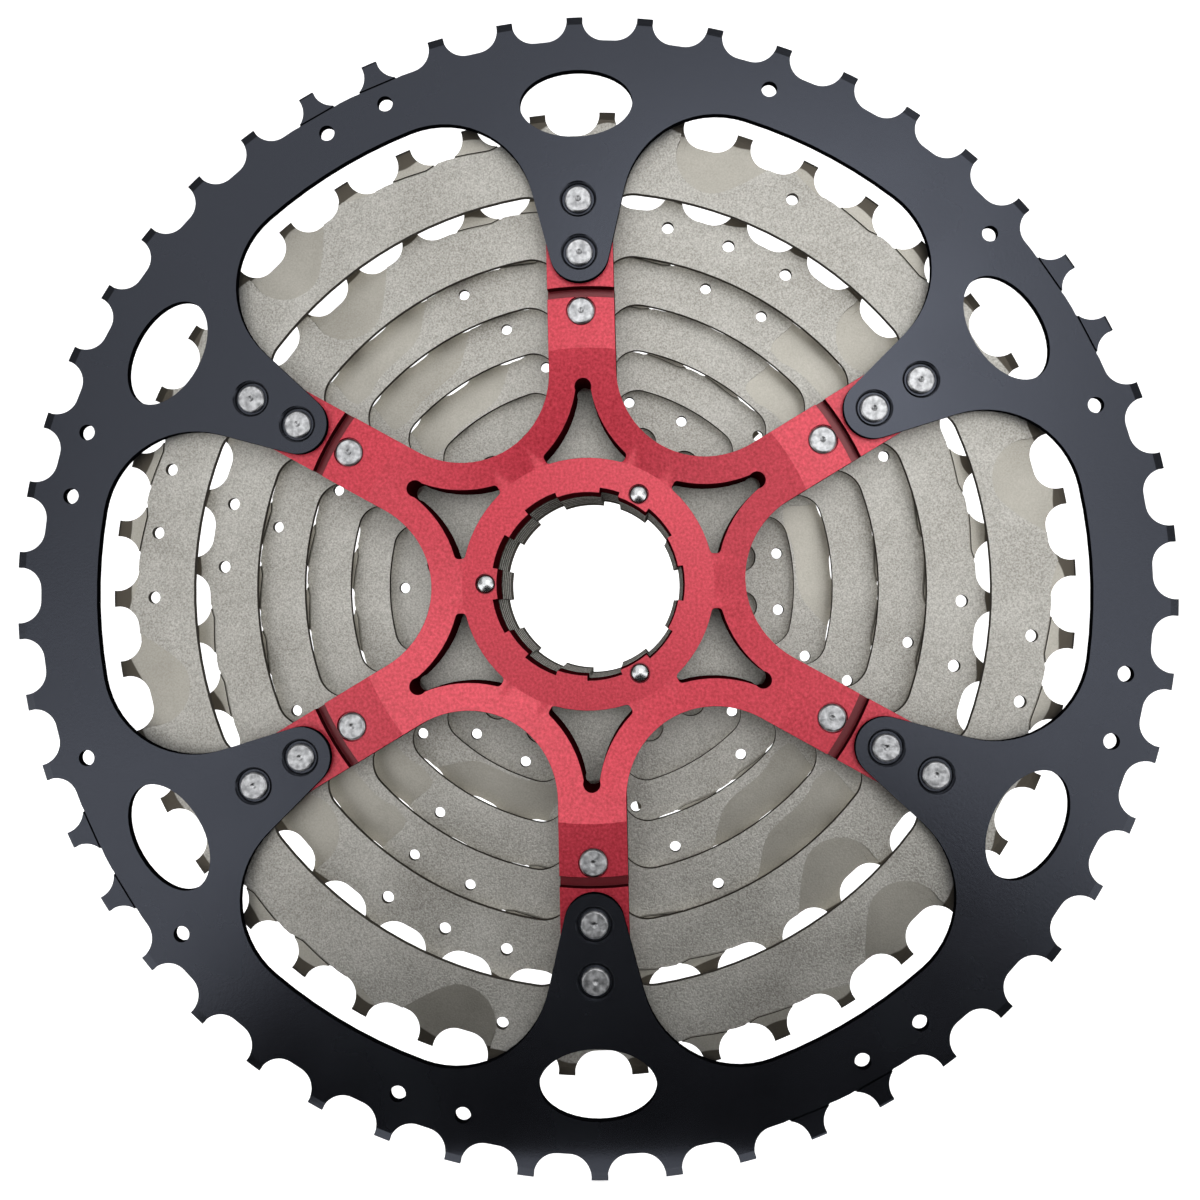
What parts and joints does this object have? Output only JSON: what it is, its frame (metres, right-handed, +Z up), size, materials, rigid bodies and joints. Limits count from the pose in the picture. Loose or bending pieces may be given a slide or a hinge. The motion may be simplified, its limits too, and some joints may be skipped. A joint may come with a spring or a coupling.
{
  "type": "bicycle cassette sprocket",
  "caption": "Stepped stack of bicycle chain sprockets on a red six-arm spider with a splined bore that slides on a rear-wheel freehub.",
  "frame": {"origin": "on the spin axis, on the inboard face of the spider hub that rests against the freehub shoulder", "axes": "+Y along the spin axis, outboard towards the smallest sprocket; +Z up, on a spider arm's centre line; +X to the right when seen from the inboard side"},
  "size_m": [0.2034, 0.0415, 0.2036],
  "materials": {
    "black_anodised_aluminium": "satin black anodised",
    "nickel_plated_steel": "fine blasted, nickel plated",
    "red_anodised_aluminium": "bead blasted, red anodised",
    "black_plastic": "moulded, matte",
    "rivet_steel": "bright zinc plated"
  },
  "bodies": {
    "cassette_block": {"sprocket_50t": "black_anodised_aluminium", "sprocket_42t": "nickel_plated_steel", "sprocket_36t": "nickel_plated_steel", "sprocket_32t": "nickel_plated_steel", "sprocket_28t": "nickel_plated_steel", "sprocket_24t": "nickel_plated_steel", "sprocket_21t": "nickel_plated_steel", "sprocket_18t": "nickel_plated_steel", "sprocket_15t": "nickel_plated_steel", "spider": "red_anodised_aluminium", "spacer_28t_24t": "black_plastic", "spacer_24t_21t": "black_plastic", "spacer_21t_18t": "black_plastic", "spacer_18t_15t": "black_plastic", "outer_rivets": "rivet_steel", "middle_rivets": "rivet_steel", "inner_rivets": "rivet_steel", "long_pins": "rivet_steel"},
    "loose_spacer": {"loose_spacer_15t_13t": "black_plastic"},
    "loose_13t": {"sprocket_13t": "nickel_plated_steel"},
    "loose_11t": {"sprocket_11t": "nickel_plated_steel"}
  },
  "joints": [
    {"name": "spacer_slide", "type": "slide", "parent": "cassette_block", "child": "loose_spacer", "axis": [0, 1, 0], "range_m": [0, 0.012]},
    {"name": "sprocket_13t_slide", "type": "slide", "parent": "loose_spacer", "child": "loose_13t", "axis": [0, 1, 0], "range_m": [0, 0.012]},
    {"name": "sprocket_11t_slide", "type": "slide", "parent": "loose_13t", "child": "loose_11t", "axis": [0, 1, 0], "range_m": [0, 0.012]}
  ]
}
